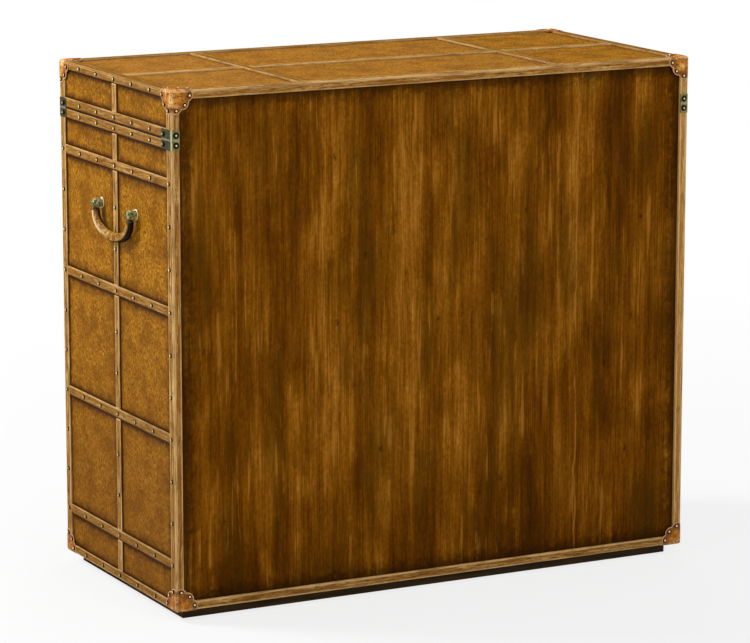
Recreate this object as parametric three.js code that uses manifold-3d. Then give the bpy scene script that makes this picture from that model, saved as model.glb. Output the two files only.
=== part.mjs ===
// Campaign chest: a leather-clad case with oak battens, corner caps, side handles and three long drawers.
// Millimetres, +Z up, floor at z = 0. Seen from the front, X runs to the right and the front faces -Y.
import * as THREE from 'three';
import { mergeVertices } from 'three/addons/utils/BufferGeometryUtils.js';
import { RoundedBoxGeometry } from 'three/addons/geometries/RoundedBoxGeometry.js';
import Module from 'manifold-3d';

const wasm = await Module();
wasm.setup();

// Case, measured over the battens
const case_width = 950;
const case_depth = 450;
const lid_height = 78;
const strip_height = 70;
const drawer_pitch = 206;
const base_height = 75;
const board_thickness = 18;
const back_thickness = 9;
const back_recess = 5;
const drawer_names = ['top', 'middle', 'bottom'];

// Plinth
const plinth_height = 18;
const plinth_inset = 20;
const plinth_wall = 18;

// Oak battens, laid on the leather
const batten_thickness = 3;
const batten_width = 17;
const edge_batten_width = 19;
const rim_batten_width = 14;
const back_frame_width = 14;
const seam_width = 1;
const cross_batten_share = 0.25;

// Leather corner caps
const cap_reach = 38;
const cap_thickness = 2.5;
const cap_round = 5;
const cap_scallop_depth = 4;
const cap_lobes = 3;
const cap_points = 12;
const cap_round_segments = 2;
const cap_plinth_gap = 0.5;

// Brass corner plates, one pair over the lid seam at each upright edge
const corner_plate_thickness = 1.2;
const corner_plate_height = 16;
const corner_plate_back_flange = 14;
const rear_plate_end_flange = 36;
const front_plate_end_flange = 26;
const plate_groove_depth = 0.7;

// Drawers
const drawer_front_gap = 1.5;
const drawer_side_gap = 2;
const drawer_back_gap = 11;
const drawer_seat_gap = 0.3;
const drawer_side_thickness = 12;
const drawer_side_height = 160;
const drawer_bottom_thickness = 6;
const drawer_bottom_raise = 6;
const edging_width = 8;

// Handles and pulls
const handle_span = 138;
const handle_height_share = 1 / 3;
const handle_pivot_out = 12;
const handle_set_back = 10;
const bail_drop = 45.5;
const bail_radius = 6.5;
const bail_swell = 1.5;
const bail_fullness = 2.3;
const bail_steps = 14;
const bail_sides = 8;
const ferrule_radius = 7;
const ferrule_length = 2.6;
const lug_radius = 4;
const lug_width = 6;
const lug_thickness = 4.4;
const lug_side_gap = 0.5;
const lug_back_gap = 0.6;
const pin_radius = 2;
const pin_gap = 0.3;
const pin_seat = 2;
const rosette_radius = 9;
const rosette_thickness = 3;
const rosette_edge = 1.8;
const neck_radius = 6.5;
const neck_length = 1.2;
const knob_radius = 8;
const knob_gap = 1.5;
const bolt_radius = 2.5;
const bolt_hole_gap = 0.5;
const screw_end_cover = 4;
const strap_height = 14;
const strap_thickness = 1.5;
const strap_end = 10;
const knob_flat_radius = 4.5;
const turned_segments = 10;
const hinge_segments = 8;
const knob_steps = 3;
const cut_overrun = 2;

// Levels and faces worked out from the sizes
const drawer_count = drawer_names.length;
const case_height = lid_height + strip_height + drawer_count * drawer_pitch + base_height;
const case_top = plinth_height + case_height;
const seam_z = case_top - lid_height;
const rail_z = Array.from({ length: drawer_count + 1 }, (_, i) => seam_z - strip_height - i * drawer_pitch);
const half_width = case_width / 2;
const half_depth = case_depth / 2;
const end_face = half_width - batten_thickness;
const end_inner = end_face - board_thickness;
const front_face = batten_thickness - half_depth;
const front_inner = front_face + board_thickness;
const back_face = half_depth - back_recess;
const carcass_rear = back_face - back_thickness;
const top_face = case_top - batten_thickness;
const top_inner = top_face - board_thickness;
const half_batten = batten_width / 2;
const half_seam = seam_width / 2;
const cross_batten_x = case_width * cross_batten_share;
const bolt_hole_radius = bolt_radius + bolt_hole_gap;
const knob_flat_angle = Math.PI - Math.asin(knob_flat_radius / knob_radius);
const knob_end = -knob_radius * Math.cos(knob_flat_angle);
const handle_reach = handle_pivot_out + Math.max(knob_end, ferrule_radius, bail_radius + bail_swell);
const handle_z = rail_z.slice(0, drawer_count).map((z) => z - drawer_pitch * handle_height_share);

// Colours and finishes
const oak = { color: 0xb98b4f, roughness: 0.55, metalness: 0 };
const hide = { color: 0xa9712c, roughness: 0.6, metalness: 0 };
const stained_wood = { color: 0x5a3510, roughness: 0.45, metalness: 0 };
const plinth_wood = { color: 0x2b1c10, roughness: 0.6, metalness: 0 };
const inner_wood = { color: 0xa98558, roughness: 0.7, metalness: 0 };
const cap_hide = { color: 0xc07426, roughness: 0.4, metalness: 0 };
const bail_hide = { color: 0x8f5f2a, roughness: 0.5, metalness: 0 };
const aged_brass = { color: 0x8a7f4e, roughness: 0.4, metalness: 1 };

const chest = new THREE.Group();

function add(parent, name, geometry, finish) {
  const mesh = new THREE.Mesh(geometry, new THREE.MeshStandardMaterial(finish));
  mesh.name = name;
  parent.add(mesh);
}

// Box between three pairs of planes
function slab([x0, x1], [y0, y1], [z0, z1]) {
  const geometry = new THREE.BoxGeometry(1, 1, 1);
  const position = geometry.attributes.position;
  for (let i = 0; i < position.count; i += 1) {
    const x = position.getX(i) < 0 ? x0 : x1;
    const y = position.getY(i) < 0 ? y0 : y1;
    const z = position.getZ(i) < 0 ? z0 : z1;
    position.setXYZ(i, x, y, z);
  }
  return geometry;
}

function rectangle(path, [u0, u1, v0, v1]) {
  path.moveTo(u0, v0);
  path.lineTo(u1, v0);
  path.lineTo(u1, v1);
  path.lineTo(u0, v1);
  path.closePath();
  return path;
}

// Flat shape made thick between two planes square to one axis.
// Its u and v run along y and z for axis x, along z and x for axis y, and along x and y for axis z.
function sheet(axis, [from, to], shape, segments = 1) {
  const settings = { depth: 1, bevelEnabled: false, curveSegments: segments };
  const geometry = new THREE.ExtrudeGeometry(shape, settings);
  const position = geometry.attributes.position;
  for (let i = 0; i < position.count; i += 1) {
    const u = position.getX(i);
    const v = position.getY(i);
    const w = position.getZ(i) < 0.5 ? from : to;
    const places = { x: [w, u, v], y: [v, w, u], z: [u, v, w] };
    position.setXYZ(i, ...places[axis]);
  }
  return geometry;
}

// Round pin of even thickness along Y
function turnedPin(radius, length, segments) {
  return new THREE.CylinderGeometry(radius, radius, length, segments);
}

// Rectangular board with round holes, each given as [u, v, radius]
function board(axis, span, outline, holes) {
  const shape = rectangle(new THREE.Shape(), outline);
  for (const [u, v, radius] of holes) {
    shape.holes.push(new THREE.Path().absarc(u, v, radius, 0, 2 * Math.PI, true));
  }
  return sheet(axis, span, shape, turned_segments / 2);
}

// Block with the given outline square to one axis
function block(axis, span, [u0, u1, v0, v1]) {
  const [u, v] = [[u0, u1], [v0, v1]];
  const places = { x: [span, u, v], y: [v, span, u], z: [u, v, span] };
  return slab(...places[axis]);
}

// Flat frame of battens: a block with rectangular windows cut through it
function frame(axis, span, outline, windows) {
  const through = [span[0] - cut_overrun, span[1] + cut_overrun];
  const whole = solid(block(axis, span, outline));
  const cut = windows.reduce((rest, window) => rest.subtract(solid(block(axis, through, window))), whole);
  return surface(cut);
}

// Windows left between battens: every pair of neighbouring spans along u and along v
function grid(us, vs) {
  return vs.flatMap(([v0, v1]) => us.map(([u0, u1]) => [u0, u1, v0, v1]));
}

// Joins and cuts
function solid(geometry) {
  const bare = geometry.clone();
  bare.deleteAttribute('normal');
  bare.deleteAttribute('uv');
  const merged = mergeVertices(bare);
  const vertProperties = Float32Array.from(merged.attributes.position.array);
  const triVerts = Uint32Array.from(merged.index.array);
  return new wasm.Manifold(new wasm.Mesh({ numProp: 3, vertProperties, triVerts }));
}

function surface(manifold) {
  const { vertProperties, triVerts } = manifold.getMesh();
  const indexed = new THREE.BufferGeometry();
  indexed.setAttribute('position', new THREE.BufferAttribute(vertProperties, 3));
  indexed.setIndex(new THREE.BufferAttribute(triVerts, 1));
  const geometry = indexed.toNonIndexed();
  geometry.computeVertexNormals();
  return geometry;
}

function join(first, ...others) {
  return others.reduce((whole, geometry) => whole.add(solid(geometry)), solid(first));
}

// Mirror image across the planes whose sign is negative, with its faces still pointing out
function mirrored(geometry, sx, sy, sz) {
  const copy = geometry.clone();
  const from = geometry.attributes.position;
  const position = copy.attributes.position;
  const turned = sx * sy * sz < 0;
  for (let i = 0; i < position.count; i += 1) {
    const corner = i % 3;
    const source = turned && corner > 0 ? i + 3 - 2 * corner : i;
    position.setXYZ(i, sx * from.getX(source), sy * from.getY(source), sz * from.getZ(source));
  }
  copy.computeVertexNormals();
  return copy;
}

// Carcass boards
function addCarcass() {
  const depths = [front_face, carcass_rear];
  const screw_ys = [-handle_span / 2, handle_span / 2].map((y) => y + handle_set_back);
  const screws = screw_ys.map((y) => [y, handle_z[0], bolt_hole_radius]);
  const end_outline = [...depths, plinth_height, top_inner];
  add(chest, 'left_end_board', board('x', [-end_face, -end_inner], end_outline, screws), hide);
  add(chest, 'right_end_board', board('x', [end_inner, end_face], end_outline, screws), hide);
  add(chest, 'top_board', slab([-end_face, end_face], depths, [top_inner, top_face]), hide);
  const between = [-end_inner, end_inner];
  const floor_top = plinth_height + board_thickness;
  add(chest, 'bottom_board', slab(between, depths, [plinth_height, floor_top]), inner_wood);
  rail_z.forEach((z, i) => {
    const levels = [z - half_batten, z + half_batten];
    add(chest, `dust_board_${i + 1}`, slab(between, depths, levels), inner_wood);
  });
  const front_span = [front_face, front_inner];
  const lid_levels = [rail_z[0] + half_batten, top_inner];
  const base_levels = [floor_top, rail_z[drawer_count] - half_batten];
  add(chest, 'lid_front_board', slab(between, front_span, lid_levels), hide);
  add(chest, 'base_front_board', slab(between, front_span, base_levels), hide);
  const back_x = half_width - back_frame_width;
  const back_levels = [plinth_height + back_frame_width, case_top - back_frame_width];
  add(chest, 'back_board', slab([-back_x, back_x], [carcass_rear, back_face], back_levels), stained_wood);
}

function addPlinth() {
  const x = half_width - plinth_inset;
  const y = half_depth - plinth_inset;
  const opening = [-x + plinth_wall, x - plinth_wall, -y + plinth_wall, y - plinth_wall];
  add(chest, 'plinth', frame('z', [0, plinth_height], [-x, x, -y, y], [opening]), plinth_wood);
}

// Spans left between the battens at the edges and those centred on the given places
function spans(low, high, centres) {
  const edges = [low, ...centres.flatMap((c) => [c - half_batten, c + half_batten]), high];
  return Array.from({ length: edges.length / 2 }, (_, i) => [edges[2 * i], edges[2 * i + 1]]);
}

// Batten grids on the ends, the front, the top and the back
function addBattens() {
  const lid_low = seam_z + half_seam;
  const body_high = seam_z - half_seam;
  const body_rows = spans(plinth_height + rim_batten_width, body_high - batten_width, [...rail_z].reverse());
  const lid_rows = [[lid_low + batten_width, case_top - rim_batten_width]];
  const end_columns = spans(edge_batten_width - half_depth, half_depth - edge_batten_width, [0]);
  const end_body = [-half_depth, half_depth, plinth_height, body_high];
  const end_lid = [-half_depth, half_depth, lid_low, top_face];
  const end_layers = { left: [-half_width, -end_face], right: [end_face, half_width] };
  for (const [side, layer] of Object.entries(end_layers)) {
    add(chest, `${side}_body_battens`, frame('x', layer, end_body, grid(end_columns, body_rows)), oak);
    add(chest, `${side}_lid_battens`, frame('x', layer, end_lid, grid(end_columns, lid_rows)), oak);
  }

  const front_layer = [-half_depth, front_face];
  const front_edge = half_width - edge_batten_width;
  const front_columns = spans(-front_edge, front_edge, [-cross_batten_x, cross_batten_x]);
  const drawer_rows = body_rows.slice(1, drawer_count + 1);
  const fixed_rows = [body_rows[0], body_rows[drawer_count + 1]];
  const drawer_windows = grid(drawer_rows, [[-front_edge, front_edge]]);
  const body_windows = [...grid(fixed_rows, front_columns), ...drawer_windows];
  const front_body = [plinth_height, body_high, -end_face, end_face];
  const front_lid = [lid_low, top_face, -end_face, end_face];
  add(chest, 'front_body_battens', frame('y', front_layer, front_body, body_windows), oak);
  add(chest, 'front_lid_battens', frame('y', front_layer, front_lid, grid(lid_rows, front_columns)), oak);

  const top_outline = [-half_width, half_width, -half_depth, half_depth];
  const top_windows = grid(front_columns, end_columns);
  add(chest, 'top_battens', frame('z', [top_face, case_top], top_outline, top_windows), oak);

  const frame_x = half_width - back_frame_width;
  const frame_outline = [plinth_height, top_face, -end_face, end_face];
  const frame_window = [plinth_height + back_frame_width, case_top - back_frame_width, -frame_x, frame_x];
  add(chest, 'back_frame', frame('y', [carcass_rear, half_depth], frame_outline, [frame_window]), oak);
}

// One flap of a corner cap, in the quarter where u and v are negative, with a scalloped free edge
function capFlap() {
  const shape = new THREE.Shape();
  const cusp = cap_reach - cap_scallop_depth;
  shape.moveTo(cap_thickness, cap_thickness);
  shape.lineTo(-cusp, cap_thickness);
  for (let i = 0; i <= cap_points; i += 1) {
    const angle = (i / cap_points) * (Math.PI / 2);
    const lobe = Math.sqrt(Math.abs(Math.sin(2 * cap_lobes * angle)));
    const radius = cusp + cap_scallop_depth * lobe;
    shape.lineTo(-radius * Math.cos(angle), -radius * Math.sin(angle));
  }
  shape.lineTo(cap_thickness, -cusp);
  shape.closePath();
  return shape;
}

// Corner cap with the case's corner at the origin and the case on the negative side of all three axes
function capSolid(plinth_cut) {
  const layer = [0, cap_thickness];
  const flaps = ['x', 'y', 'z'].map((axis) => sheet(axis, layer, capFlap()));
  const size = 2 * (cap_reach + cap_thickness + cap_round);
  const rounded = new RoundedBoxGeometry(size, size, size, cap_round_segments, cap_round);
  const centre = cap_thickness - size / 2;
  rounded.translate(centre, centre, centre);
  const cap = join(...flaps).intersect(solid(rounded));
  return surface(plinth_cut ? cap.subtract(solid(plinth_cut)) : cap);
}

function addCornerCaps() {
  const deep = -(cap_reach + cut_overrun);
  const inset = cap_plinth_gap - plinth_inset;
  const plinth_cut = slab([deep, inset], [deep, inset], [-half_seam, cap_thickness + cut_overrun]);
  const caps = { top: capSolid(null), bottom: capSolid(plinth_cut) };
  for (const [level, sz] of [['top', 1], ['bottom', -1]]) {
    for (const [face, sy] of [['front', -1], ['rear', 1]]) {
      for (const [side, sx] of [['left', -1], ['right', 1]]) {
        const geometry = mirrored(caps[level], sx, sy, sz);
        const z = sz > 0 ? case_top : plinth_height;
        geometry.translate(sx * half_width, sy * half_depth, z);
        add(chest, `corner_cap_${level}_${face}_${side}`, geometry, cap_hide);
      }
    }
  }
}

// Upper and lower corner plate over the seam, with the upright edge at the origin
function cornerPlates(end_flange) {
  const t = corner_plate_thickness;
  const shape = new THREE.Shape();
  shape.moveTo(t, t);
  shape.lineTo(-corner_plate_back_flange, t);
  shape.lineTo(-corner_plate_back_flange, 0);
  shape.lineTo(0, 0);
  shape.lineTo(0, -end_flange);
  shape.lineTo(t, -end_flange);
  shape.closePath();
  const plates = solid(sheet('z', [-corner_plate_height, corner_plate_height], shape));
  const groove = [t - plate_groove_depth, t + cut_overrun];
  const past_back = [-corner_plate_back_flange - cut_overrun, t + cut_overrun];
  const past_end = [-end_flange - cut_overrun, t + cut_overrun];
  const seam = [-half_seam, half_seam];
  const end_groove = slab(groove, past_end, seam);
  const back_groove = slab(past_back, groove, seam);
  return surface(plates.subtract(solid(end_groove)).subtract(solid(back_groove)));
}

function addCornerPlates() {
  const rows = [['front', -1, front_plate_end_flange], ['rear', 1, rear_plate_end_flange]];
  for (const [face, sy, flange] of rows) {
    for (const [side, sx] of [['left', -1], ['right', 1]]) {
      const geometry = mirrored(cornerPlates(flange), sx, sy, 1);
      geometry.translate(sx * half_width, sy * half_depth, seam_z);
      add(chest, `corner_plates_${face}_${side}`, geometry, aged_brass);
    }
  }
}

// Turned mount: screw, rosette, neck and barrel with a round end, slotted below and in front for the lug.
// The face that it stands on is y = 0, it stands out towards -Y and its pin runs along X.
function mountParts(screw_length) {
  const round_start = Math.PI / 2;
  const profile = [
    [0, screw_length],
    [bolt_radius, screw_length],
    [bolt_radius, 0],
    [rosette_radius, 0],
    [rosette_radius, -rosette_edge],
    [neck_radius, -rosette_thickness],
    [knob_radius, -rosette_thickness - neck_length],
  ];
  for (let i = 0; i <= knob_steps; i += 1) {
    const angle = round_start + (i / knob_steps) * (knob_flat_angle - round_start);
    profile.push([knob_radius * Math.sin(angle), knob_radius * Math.cos(angle) - handle_pivot_out]);
  }
  profile.push([0, -knob_end - handle_pivot_out]);
  const points = profile.reverse().map(([radius, y]) => new THREE.Vector2(radius, y));
  const turned = new THREE.LatheGeometry(points, turned_segments);
  const half_slot = lug_thickness / 2 + lug_side_gap;
  const slot_end = lug_radius + lug_back_gap;
  const far = knob_radius + cut_overrun;
  const slot_depths = [-handle_pivot_out - far, slot_end - handle_pivot_out];
  const slot = slab([-half_slot, half_slot], slot_depths, [-far, slot_end]);
  const pin_length = 2 * (half_slot + pin_seat);
  const pin = turnedPin(pin_radius, pin_length, hinge_segments);
  pin.rotateZ(Math.PI / 2);
  pin.translate(0, -handle_pivot_out, 0);
  return solid(turned).subtract(solid(slot)).add(solid(pin));
}

// The bail's centre line: a full, flattened arch hanging between its two ferrules
class BailCurve extends THREE.Curve {
  getPoint(t, target = new THREE.Vector3()) {
    const angle = Math.PI * t;
    const power = 2 / bail_fullness;
    const across = -Math.sign(Math.cos(angle)) * Math.abs(Math.cos(angle)) ** power;
    const down = Math.abs(Math.sin(angle)) ** power;
    const start = knob_radius + knob_gap;
    return target.set((across * handle_span) / 2, -handle_pivot_out, -start - down * (bail_drop - start));
  }
}

// Thickens the arch from its ends to its middle: each of its rings is spread from the centre line
function swell(arch, curve) {
  const centres = curve.getSpacedPoints(bail_steps);
  const places = arch.getAttribute('position');
  const place = new THREE.Vector3();
  for (let i = 0; i < places.count; i += 1) {
    place.fromBufferAttribute(places, i);
    const distances = centres.map((centre) => centre.distanceTo(place));
    const ring = distances.indexOf(Math.min(...distances));
    const share = Math.sin((Math.PI * ring) / bail_steps);
    place.sub(centres[ring]);
    place.setLength(bail_radius + bail_swell * share);
    place.add(centres[ring]);
    places.setXYZ(i, place.x, place.y, place.z);
  }
  return arch;
}

// Bail: leather-covered arch with a ferrule and a pierced lug at each end, hanging from the pins
function bailSurface() {
  const section = new THREE.Shape().absarc(0, 0, bail_radius, 0, 2 * Math.PI);
  const curve = new BailCurve();
  const settings = { extrudePath: curve, steps: bail_steps, curveSegments: bail_sides / 2 };
  let bail = solid(swell(new THREE.ExtrudeGeometry(section, settings), curve));
  const top = -(knob_radius + knob_gap);
  const lug_depths = [-handle_pivot_out - lug_width / 2, lug_width / 2 - handle_pivot_out];
  const half_lug = lug_thickness / 2;
  for (const x of [-handle_span / 2, handle_span / 2]) {
    const ferrule = turnedPin(ferrule_radius, ferrule_length, turned_segments);
    ferrule.rotateX(Math.PI / 2);
    ferrule.translate(x, -handle_pivot_out, top - ferrule_length / 2);
    const eye = turnedPin(lug_radius, lug_thickness, hinge_segments);
    eye.rotateZ(Math.PI / 2);
    eye.translate(x, -handle_pivot_out, 0);
    const shank = slab([x - half_lug, x + half_lug], lug_depths, [top - ferrule_length / 2, 0]);
    const hole = turnedPin(pin_radius + pin_gap, lug_thickness + cut_overrun, hinge_segments);
    hole.rotateZ(Math.PI / 2);
    hole.translate(x, -handle_pivot_out, 0);
    bail = bail.add(solid(ferrule)).add(solid(eye)).add(solid(shank)).subtract(solid(hole));
  }
  return surface(bail);
}

// Side handles, each with two screwed mounts
function addSideHandles() {
  const bail = bailSurface();
  const mount = surface(mountParts(board_thickness - screw_end_cover));
  for (const [side, sx] of [['left', -1], ['right', 1]]) {
    const handle = new THREE.Group();
    handle.position.set(sx * end_face, handle_set_back, handle_z[0]);
    handle.rotation.z = (sx * Math.PI) / 2;
    for (const [end, x] of [['front', -sx * handle_span / 2], ['rear', sx * handle_span / 2]]) {
      const place = new THREE.Group();
      place.position.x = x;
      add(place, `${side}_handle_${end}_mount`, mount, aged_brass);
      handle.add(place);
    }
    add(handle, `${side}_handle_bail`, bail, bail_hide);
    chest.add(handle);
  }
}

// Drawer pull mounts, bolted through the drawer front to one strap inside it
function pullMounts() {
  const strap_x = handle_span / 2 + strap_end;
  const strap_depths = [board_thickness, board_thickness + strap_thickness];
  let mounts = solid(slab([-strap_x, strap_x], strap_depths, [-strap_height / 2, strap_height / 2]));
  const mount = surface(mountParts(board_thickness + strap_thickness / 2));
  for (const x of [-handle_span / 2, handle_span / 2]) {
    const copy = mount.clone();
    copy.translate(x, 0, 0);
    mounts = mounts.add(solid(copy));
  }
  return surface(mounts);
}

// Drawers: a leather-clad front with oak edging, and a box that runs on the dust board
function addDrawers() {
  const bail = bailSurface();
  const mounts = pullMounts();
  const front_x = end_inner - drawer_front_gap;
  const box_x = end_inner - drawer_side_gap;
  const inner_x = box_x - drawer_side_thickness;
  const pull_places = { left: -cross_batten_x, right: cross_batten_x };
  drawer_names.forEach((name, i) => {
    const bay_low = rail_z[i + 1] + half_batten;
    const front_levels = [bay_low + drawer_front_gap, rail_z[i] - half_batten - drawer_front_gap];
    const outline = [...front_levels, -front_x, front_x];
    const holes = Object.values(pull_places).flatMap((x) => {
      return [-handle_span / 2, handle_span / 2].map((dx) => [handle_z[i], x + dx, bolt_hole_radius]);
    });
    const front = board('y', [front_face, front_inner], outline, holes);
    add(chest, `${name}_drawer_front`, front, hide);

    const columns = spans(edging_width - front_x, front_x - edging_width, Object.values(pull_places));
    const edging_rows = [[front_levels[0] + edging_width, front_levels[1] - edging_width]];
    const edging = frame('y', [-half_depth, front_face], outline, grid(edging_rows, columns));
    add(chest, `${name}_drawer_edging`, edging, oak);

    const box_low = bay_low + drawer_seat_gap;
    const box_high = box_low + drawer_side_height;
    const floor_low = box_low + drawer_bottom_raise;
    const floor_high = floor_low + drawer_bottom_thickness;
    const box_rear = carcass_rear - drawer_back_gap;
    const depths = [front_inner, box_rear];
    const floor_board = slab([-box_x, box_x], depths, [floor_low, floor_high]);
    const left_side = slab([-box_x, -inner_x], depths, [box_low, box_high]);
    const right_side = slab([inner_x, box_x], depths, [box_low, box_high]);
    const rear_depths = [box_rear - drawer_side_thickness, box_rear];
    const rear = slab([-box_x, box_x], rear_depths, [floor_low, box_high]);
    const box = surface(join(floor_board, left_side, right_side, rear));
    add(chest, `${name}_drawer_box`, box, inner_wood);

    for (const [side, x] of Object.entries(pull_places)) {
      const pull = new THREE.Group();
      pull.position.set(x, front_face, handle_z[i]);
      add(pull, `${name}_drawer_${side}_pull_mounts`, mounts, aged_brass);
      add(pull, `${name}_drawer_${side}_pull_bail`, bail, bail_hide);
      chest.add(pull);
    }
  });
}

addCarcass();
addPlinth();
addBattens();
addCornerCaps();
addCornerPlates();
addSideHandles();
addDrawers();

// The origin is the centre of the whole outline on the floor, from the pulls' knobs to the rear caps
const front_reach = handle_reach - front_face;
const rear_reach = half_depth + cap_thickness;
chest.position.y = (front_reach - rear_reach) / 2;

export default chest;
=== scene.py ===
"""Campaign chest: leather-clad case with oak strips, nailed corner caps, bail handles and three drawers."""
import math
from random import Random

import bmesh
import bpy
from mathutils import Matrix, Vector


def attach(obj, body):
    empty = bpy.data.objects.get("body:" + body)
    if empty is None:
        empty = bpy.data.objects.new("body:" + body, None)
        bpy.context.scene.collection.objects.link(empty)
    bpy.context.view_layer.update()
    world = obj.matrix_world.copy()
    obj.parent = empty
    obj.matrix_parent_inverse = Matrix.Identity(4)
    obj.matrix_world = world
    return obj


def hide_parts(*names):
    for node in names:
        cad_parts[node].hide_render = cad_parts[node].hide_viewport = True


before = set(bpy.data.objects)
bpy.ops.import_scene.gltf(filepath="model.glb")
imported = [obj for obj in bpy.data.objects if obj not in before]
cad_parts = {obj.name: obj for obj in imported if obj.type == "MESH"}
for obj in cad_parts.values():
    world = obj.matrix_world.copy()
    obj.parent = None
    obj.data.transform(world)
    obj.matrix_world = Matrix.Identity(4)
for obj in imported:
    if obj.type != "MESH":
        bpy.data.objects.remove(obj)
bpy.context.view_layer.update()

# Lengths are in millimetres, in the chest's own frame before it is set back by SET_BACK
METRE = 0.001
SET_BACK = 7.25
CASE_WIDTH, CASE_DEPTH, CASE_TOP, PLINTH_HEIGHT = 950, 450, 859, 18
SEAM_Z, SEAM_WIDTH = 781, 1
RAIL_Z = (711, 505, 299, 93)
ROW_PITCH = 206
STRIP_THICKNESS, STRIP_WIDTH, EDGE_WIDTH, RIM_WIDTH = 3, 17, 19, 14
BACK_FRAME_WIDTH, BACK_FRAME_DEPTH, BACK_ARRIS, BACK_SEAT = 14, 14, 1.6, 211
CROSS_X = 237.5
CROSSES = [-CROSS_X, CROSS_X]
HALF_STRIP = STRIP_WIDTH / 2
BODY_HIGH, LID_LOW = SEAM_Z - SEAM_WIDTH / 2, SEAM_Z + SEAM_WIDTH / 2
HALF_WIDTH, HALF_DEPTH = CASE_WIDTH / 2, CASE_DEPTH / 2
END_FACE = HALF_WIDTH - STRIP_THICKNESS
FRONT_FACE = HALF_DEPTH - STRIP_THICKNESS
TOP_FACE = CASE_TOP - STRIP_THICKNESS
BOARD_THICKNESS = 18
HANDLE_Z = [z - ROW_PITCH / 3 for z in RAIL_Z[:3]]
HANDLE_SPAN = 138
DRAWERS = ("top", "middle", "bottom")
SIDES = (("left", -1), ("right", 1))
FACES = (("front", -1), ("rear", 1))

chance = Random(11)


# Materials


def linear(code):
    """Scene colour of a painter's six-figure colour code."""
    channels = [int(code[i:i + 2], 16) / 255 for i in (0, 2, 4)]
    return tuple(c / 12.92 if c <= 0.04045 else ((c + 0.055) / 1.055) ** 2.4 for c in channels) + (1.0,)


class Recipe:
    """Lays out and joins the nodes of one material or one node group, with the colour painted so far."""

    def __init__(self, tree):
        self.tree = tree
        self.colour = None

    def fill(self, socket, value):
        if isinstance(value, bpy.types.NodeSocket):
            self.tree.links.new(value, socket)
        else:
            socket.default_value = value

    def add(self, kind, inputs=None, out=0, **settings):
        """Output of a new node of a kind, which is named without the ShaderNode before it."""
        node = self.tree.nodes.new(f"ShaderNode{kind}")
        for key, value in settings.items():
            setattr(node, key, value)
        for key, value in (inputs or {}).items():
            self.fill(node.inputs[key], value)
        return node.outputs[out] if node.outputs else None

    def use(self, tree, **inputs):
        return self.add("Group", inputs, node_tree=tree).node.outputs

    def figure_map(self):
        return self.add("UVMap", uv_map="figure")

    def place(self):
        return self.add("TexCoord", out=3)

    def axes(self):
        return self.add("SeparateXYZ", {0: self.place()}).node.outputs

    def upright_place(self):
        """Object coordinates with the height first, for grain that stands upright."""
        across, back, height = self.axes()
        return self.add("CombineXYZ", {0: height, 1: across, 2: back})

    def mark(self, name):
        return self.add("Attribute", out=2, attribute_name=name)

    def noise(self, vector, scale, detail, roughness, distortion=0.0):
        inputs = {"Vector": vector, "Scale": scale, "Detail": detail}
        inputs.update({"Roughness": roughness, "Distortion": distortion})
        return self.add("TexNoise", inputs)

    def stretch(self, vector, scale, shift=(0, 0, 0)):
        return self.add("Mapping", {"Vector": vector, "Scale": scale, "Location": shift})

    def grain(self, vector, sizes, detail, roughness, distortion=0.0, shift=(0, 0, 0), scale=1.0):
        """Noise whose vector is stretched by its own size along each axis."""
        return self.noise(self.stretch(vector, sizes, shift), scale, detail, roughness, distortion)

    def span(self, value, low, high, to_low=0.0, to_high=1.0):
        inputs = {"Value": value, "From Min": low, "From Max": high, "To Min": to_low, "To Max": to_high}
        return self.add("MapRange", inputs, interpolation_type="SMOOTHSTEP")

    def math(self, operation, a, b=0.0):
        return self.add("Math", {0: a, 1: b}, operation=operation)

    def times(self, a, b):
        return self.math("MULTIPLY", a, b)

    def mix(self, factor, a, b):
        return self.add("Mix", {0: factor, 6: a, 7: b}, out=2, data_type="RGBA")

    def paint(self, value, *stops):
        """First coat, whose colours follow a value through a ramp."""
        self.colour = self.add("ValToRGB", {0: value})
        elements = self.colour.node.color_ramp.elements
        elements.remove(elements[1])
        elements[0].position = stops[0][0]
        elements[0].color = linear(stops[0][1])
        for place, code in stops[1:]:
            elements.new(place).color = linear(code)

    def lay(self, code, mask, share=None):
        """Lays a colour over the colour painted so far, through a mask, times a share where one is given."""
        if share is not None:
            mask = self.times(mask, share)
        self.colour = self.mix(mask, self.colour, linear(code))

    def lay_low(self, code, low, high, share):
        """Lays a share of a colour over what stands below low, fading out up to high, in metres."""
        self.lay(code, self.span(self.axes()[2], low, high, share, 0))

    def relief(self, height, strength, depth):
        return self.add("Bump", {"Height": height, "Strength": strength, "Distance": depth})

    def surface(self, value, low, high, *relief):
        """Shader inputs: roughness from low to high as a value rises, and relief from a height."""
        return {"Roughness": self.span(value, 0.3, 0.7, low, high), "Normal": self.relief(*relief)}

    def metal(self, bare, metallic, roughness, *relief):
        """Shader inputs of a metal, with spans that run from its patina to where it is bare."""
        return {
            "Metallic": self.span(bare, 0, 1, *metallic),
            "Roughness": self.span(bare, 0, 1, *roughness),
            "Normal": self.relief(*relief),
        }


def recipe_for(owner):
    """Empty recipe of a material or a world."""
    owner.use_nodes = True
    owner.node_tree.nodes.clear()
    return Recipe(owner.node_tree)


def node_group(name, build, *given):
    """Node group whose build takes its recipe and the inputs given, and returns its outputs by name."""
    tree = bpy.data.node_groups.new(name, "ShaderNodeTree")
    for key in given:
        kind = "NodeSocketVector" if key == "Vector" else "NodeSocketFloat"
        tree.interface.new_socket(name=key, in_out="INPUT", socket_type=kind)
    r = Recipe(tree)
    source = tree.nodes.new("NodeGroupInput")
    made = build(r, *[source.outputs[key] for key in given])
    for key in made:
        tree.interface.new_socket(name=key, in_out="OUTPUT", socket_type="NodeSocketFloat")
    sink = tree.nodes.new("NodeGroupOutput")
    for key, value in made.items():
        r.fill(sink.inputs[key], value)
    return tree


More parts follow.
